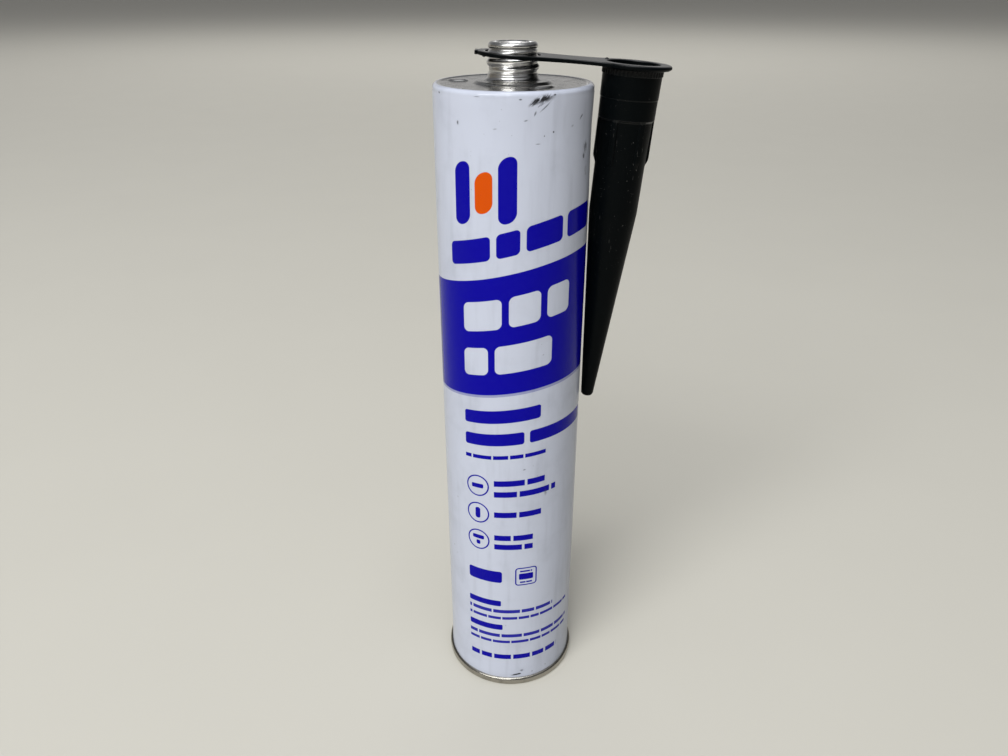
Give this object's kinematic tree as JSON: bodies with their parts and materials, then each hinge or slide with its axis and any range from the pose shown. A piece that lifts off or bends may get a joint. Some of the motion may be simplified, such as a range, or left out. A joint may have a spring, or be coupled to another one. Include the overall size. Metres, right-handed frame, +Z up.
{
  "type": "sealant cartridge",
  "caption": "Metal sealant cartridge with a threaded, sealed neck and a tapered nozzle stored at its side by a strap and eye.",
  "frame": {"origin": "centre of the rolled end, on the surface that the cartridge stands on", "axes": "+Z up the cartridge's axis; +X from the neck to the stored nozzle; -Y faces the picture's camera"},
  "size_m": [0.0701, 0.0492, 0.2289],
  "materials": {
    "painted_can": "gloss",
    "black_plastic": "satin"
  },
  "bodies": {
    "cartridge": {"cartridge": "painted_can"},
    "nozzle": {"nozzle": "black_plastic"}
  },
  "joints": [
    {"name": "nozzle_swing", "type": "hinge", "parent": "cartridge", "child": "nozzle", "pos_m": [0, 0, 0.226], "axis": [0, 0, 1], "continuous": true}
  ]
}
